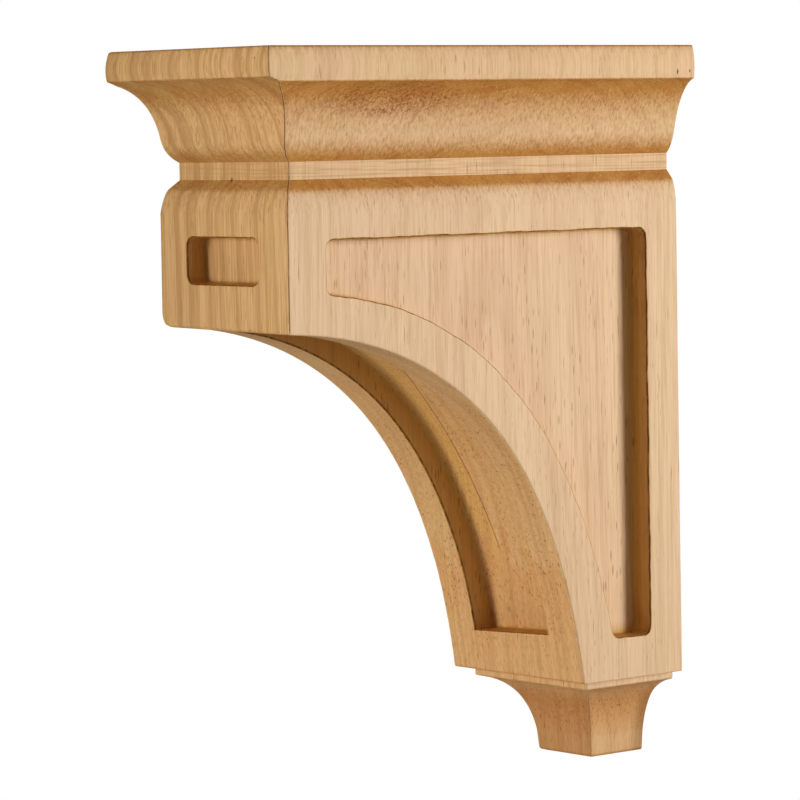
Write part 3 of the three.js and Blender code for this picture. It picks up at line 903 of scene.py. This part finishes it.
    # On the sweep: golden above and browner below, pale flecks, and a darker line along a ring
    under = wood.spread(z, height_of(CROWN), height_of(CROWN) + 6.0, 1.0, 0.0)
    under = wood.times(under, wood.spread(upward, 0.08, 0.30))
    lower = wood.sum("ADD", z, wood.spread(patchy, 0.3, 0.7, -9.0, 9.0))
    lower = wood.spread(lower, -54.0, -48.0, 1.0, 0.0)
    bow = wood.sum("POWER", wood.sum("ABSOLUTE", wood.sum("ADD", y, 68.0)), 2.0)
    ring_x = wood.sum("ADD", wood.times(bow, 0.0066), -9.0)
    from_ring = wood.sum("SUBTRACT", x, ring_x)
    in_channel = wood.spread(x, RAIL - HALF - 0.2, RAIL - HALF + 0.3)
    in_channel = wood.times(in_channel, wood.spread(y, -128.0, -110.0))
    ringed_share = wood.times(under, in_channel, wood.rest(lower))
    gold = wood.times(ringed_share, wood.spread(from_ring, -0.3, 0.6, 1.0, 0.0))
    tone = wood.tinted(gold, tone, GOLDEN)
    tone = wood.tinted(wood.times(under, lower), tone, BROWNER)
    ring_line = wood.spread(wood.sum("ABSOLUTE", from_ring), 0.1, 0.5, 0.8, 0.0)
    tone = wood.tinted(wood.times(ring_line, ringed_share), tone, RING_DARK)
    flecks = wood.spots(place, (1.1, 1.6, 2.2), 0.10, 0.22, 0.35, (3, 7, 1))
    tone = wood.blend(wood.times(flecks, across, 0.4), tone, FLECK)
    grains = wood.spots(place, (1.5, 1.5, 1.9), 0.16, 0.14, 0.50, (1, 3, 8))
    grains = wood.times(grains, under, wood.spread(patchy, 0.42, 0.58, 0.25, 0.9), 0.75)
    tone = wood.tinted(grains, tone, PORE)

    # Torn end grain, rust brown, in a patch along the right cove
    patch = wood.node("ShaderNodeMapping", {"Vector": place, "Location": (-2.1, 3.7, -14.8),
                                            "Scale": (1 / 18, 1 / 36, 1 / 7.4)})
    patch = wood.spread(wood.vector("LENGTH", patch, output=1), 0.55, 1.10, 1.0, 0.0)
    torn = wood.noise(place, (0.8, 1.5, 0.9), 3.0, 0.75, (2, 2, 2))
    torn = wood.times(wood.spread(torn, 0.50, 0.60, 0.15, 0.8), patch)
    tone = wood.tinted(torn, tone, RUST)

    # Pores: short upright dashes that come in bands
    crowd = wood.noise(place, (13, 13, 70), 1.0, 0.5, (1, 8, 2))
    crowd = wood.times(wood.spread(crowd, 0.42, 0.60, 0.12, 0.9), wood.spread(z, -60.0, 90.0, 1.0, 0.6))
    dots = wood.times(wood.spots(place, (0.8, 0.8, 6.0), 0.10, 0.17, 0.22, (9, 2, 5)), 0.6)
    short = wood.spots(place, (1.2, 1.2, 9.5), 0.12, 0.14, 0.56)
    long = wood.spots(place, (1.9, 1.9, 34.0), 0.03, 0.09, 0.50, (4, 4, 4))
    pores = wood.times(wood.sum("MAXIMUM", dots, short), crowd)
    pores = wood.sum("MAXIMUM", pores, wood.times(long, 0.7))
    tone = wood.tinted(wood.times(pores, 0.75), tone, PORE)

    # Worn edges are pale, partly a painted highlight; upright corners carry a thin line of painted shade;
    # inner walls and fillets of the sunk panels carry painted shade; lips carry a dark line
    uneven_edge = wood.spread(wood.noise(place, (2.0, 2.0, 5.0), 2.0, 0.6, (5, 5, 5)), 0.35, 0.6, 0.35, 0.9)
    # Pale worn edges, partly a painted highlight
    worn = wood.times(wood.spread(edge, 0.55, WORN_HIGHLIT_EDGE), wood.spread(edge, WORN_HIGHLIT_EDGE, 1.25, 1.0, 0.0),
                      uneven_edge, 0.7)
    tone = wood.blend(worn, tone, WORN_AND_HIGHLIGHT)
    # A thin line of painted shade along the rounded upright corners
    corner_shade = wood.times(wood.spread(edge, 1.05, SHADED_CORNER - 0.2), uneven_edge)
    tone = wood.tinted(corner_shade, tone, CORNER_SHADE_TINT)
    # Painted shade on the inner walls and fillets of the sunk panels and at the edges of their floors
    tone = wood.tinted(wood.spread(edge, SHADED_RECESS, 0.0, 1.0, 0.0), tone, RECESS_SHADE_TINT)
    lip = wood.times(wood.spread(edge, LIP_LINE, SHADED_RECESS, 1.0, 0.0), uneven_edge)
    tone = wood.tinted(lip, tone, LIP_TINT)

    # The foot is a shade darker than the block above it
    footed = wood.spread(z, height_of(FILLET_BOTTOM) - 9.0, height_of(FILLET_BOTTOM), 1.0, 0.0)
    tone = wood.tinted(footed, tone, wood.blend(sidelong, FOOT_FRONT, FOOT_SIDE))
    # Painted contact shade on the foot beside the wall
    rear_shade = wood.times(wood.spread(y, -8.0, -1.0, 0.0, 0.8), footed, carved)
    tone = wood.tinted(rear_shade, tone, REAR_SHADE_TINT)

    # Small pits, each a dark dent drawn out along the grain
    pits = None
    for centre, radius in PITS:
        pit = wood.node("ShaderNodeMapping", {"Vector": wood.vector("SUBTRACT", place, centre),
                                              "Scale": (1 / radius, 1 / radius, 0.5 / radius)})
        pit = wood.spread(wood.vector("LENGTH", pit, output=1), 0.6, 1.1, 1.0, 0.0)
        pits = pit if pits is None else wood.sum("MAXIMUM", pits, pit)
    tone = wood.blend(wood.times(pits, 0.85), tone, PIT)

    wood.fill(wood.shader.inputs["Base Color"], tone)
    dull = wood.spread(fibre, 0.3, 0.7, 0.52, 0.66)
    wood.fill(wood.shader.inputs["Roughness"], wood.sum("MAXIMUM", dull, wood.times(pores, 0.8)))
    wood.shader.inputs["Specular IOR Level"].default_value = 0.35
    grain = wood.sum("ADD", wood.times(fibre, 0.5), wood.times(hair, 0.6))
    for dent, depth in ((pores, 0.9), (wood.times(speckle, across), 0.8), (pits, 3.0)):
        grain = wood.sum("SUBTRACT", grain, wood.times(dent, depth))
    bump = wood.node("ShaderNodeBump", {"Height": grain, "Strength": 0.35, "Distance": 0.25 * MM})
    wood.fill(wood.shader.inputs["Normal"], bump)
    return wood.material


corbel.data.materials.append(pale_hardwood())

# Camera, from a perspective fit to the bracket's own corners
CAMERA_AZIMUTH = math.radians(50.08)
CAMERA_PITCH = math.radians(-3.89)
CAMERA_ROLL = math.radians(-1.02)
CAMERA_DISTANCE = 1.38733
CAMERA_ASIDE = -0.00037
CAMERA_BELOW_TOP = 0.02723
CAMERA_TARGET_DEPTH = 0.1
SENSOR = 36.0
FOCAL = 180.345


def place_camera():
    """The camera stands off from its target by azimuth and pitch, and rolls about its line of sight."""
    ahead = Vector((-math.sin(CAMERA_AZIMUTH), math.cos(CAMERA_AZIMUTH), 0))
    right = Vector((math.cos(CAMERA_AZIMUTH), math.sin(CAMERA_AZIMUTH), 0))
    up = Vector((0, 0, 1))
    spot = Vector((0, -CAMERA_TARGET_DEPTH, HEIGHT / 2 * MM - CAMERA_BELOW_TOP))
    spot += right * CAMERA_ASIDE - ahead * CAMERA_DISTANCE
    look = ahead * math.cos(CAMERA_PITCH) + up * math.sin(CAMERA_PITCH)
    upward = up * math.cos(CAMERA_PITCH) - ahead * math.sin(CAMERA_PITCH)
    across = right * math.cos(CAMERA_ROLL) + upward * math.sin(CAMERA_ROLL)
    upward = upward * math.cos(CAMERA_ROLL) - right * math.sin(CAMERA_ROLL)
    data = bpy.data.cameras.new("camera")
    data.sensor_width = SENSOR
    data.lens = FOCAL
    data.clip_end = 50
    camera = bpy.data.objects.new("camera", data)
    turn = Matrix((across, upward, -look)).transposed()
    camera.matrix_world = Matrix.Translation(spot) @ turn.to_4x4()
    bpy.context.collection.objects.link(camera)
    bpy.context.scene.camera = camera


place_camera()

# The middle of the bracket, which the lights face
MIDDLE = Vector((0, -0.09, 0))


def soft_light(name, toward, distance, size, power, colour):
    """Area light facing the middle of the bracket from the direction toward."""
    data = bpy.data.lights.new(name, "AREA")
    data.shape = "RECTANGLE"
    data.size, data.size_y = size
    data.energy = power
    data.color = colour
    light = bpy.data.objects.new(name, data)
    direction = Vector(toward).normalized()
    turn = direction.to_track_quat("Z", "Y").to_matrix()
    light.matrix_world = Matrix.Translation(MIDDLE + direction * distance) @ turn.to_4x4()
    bpy.context.collection.objects.link(light)


soft_light("key", (0.79, 0.61, 0.04), 1.8, (0.5, 0.9), 27.8, (1.0, 0.99, 0.96))
soft_light("fill", (-0.38, -0.92, 0.02), 2.0, (0.6, 1.0), 23.4, (1.0, 0.91, 0.71))
soft_light("above", (0.1, -0.1, 1.0), 1.8, (1.5, 1.5), 2.6, (1.0, 0.9, 0.75))
soft_light("below", (0.1, -0.45, -1.0), 1.2, (1.2, 1.2), 3, (1.0, 0.95, 0.88))


def seen_and_lit(tree, lit, seen, output):
    """Shows one shader to the camera and the other to every other ray."""
    ray = tree.nodes.new("ShaderNodeLightPath")
    mix = tree.nodes.new("ShaderNodeMixShader")
    tree.links.new(ray.outputs["Is Camera Ray"], mix.inputs["Fac"])
    tree.links.new(lit.outputs[0], mix.inputs[1])
    tree.links.new(seen.outputs[0], mix.inputs[2])
    tree.links.new(mix.outputs["Shader"], tree.nodes[output].inputs["Surface"])


# White seen behind the bracket, a weak warm glow on the bracket itself
world = bpy.data.worlds.new("studio")
world.use_nodes = True
warm = world.node_tree.nodes["Background"]
warm.inputs["Color"].default_value = (1.0, 0.84, 0.60, 1)
warm.inputs["Strength"].default_value = 0.20
white = world.node_tree.nodes.new("ShaderNodeBackground")
white.inputs["Color"].default_value = (1, 1, 1, 1)
seen_and_lit(world.node_tree, warm, white, "World Output")
bpy.context.scene.world = world

# Pale floor, lit so that it runs on into the white behind
FLOOR_DROP = 3.0
FLOOR_HALF = 30.0
floor_mesh = bpy.data.meshes.new("floor")
floor_z = height_of(HEIGHT) * MM - FLOOR_DROP
corners = [(x * FLOOR_HALF, y * FLOOR_HALF, floor_z) for x, y in ((-1, -1), (1, -1), (1, 1), (-1, 1))]
floor_mesh.from_pydata(corners, [], [(0, 1, 2, 3)])
floor = bpy.data.objects.new("floor", floor_mesh)
bpy.context.collection.objects.link(floor)
floor_white = bpy.data.materials.new("floor_white")
floor_white.use_nodes = True
plain = floor_white.node_tree.nodes["Principled BSDF"]
plain.inputs["Base Color"].default_value = (0.8, 0.8, 0.8, 1)
glow = floor_white.node_tree.nodes.new("ShaderNodeEmission")
seen_and_lit(floor_white.node_tree, plain, glow, "Material Output")
floor_mesh.materials.append(floor_white)

bpy.context.scene.view_settings.view_transform = "Standard"
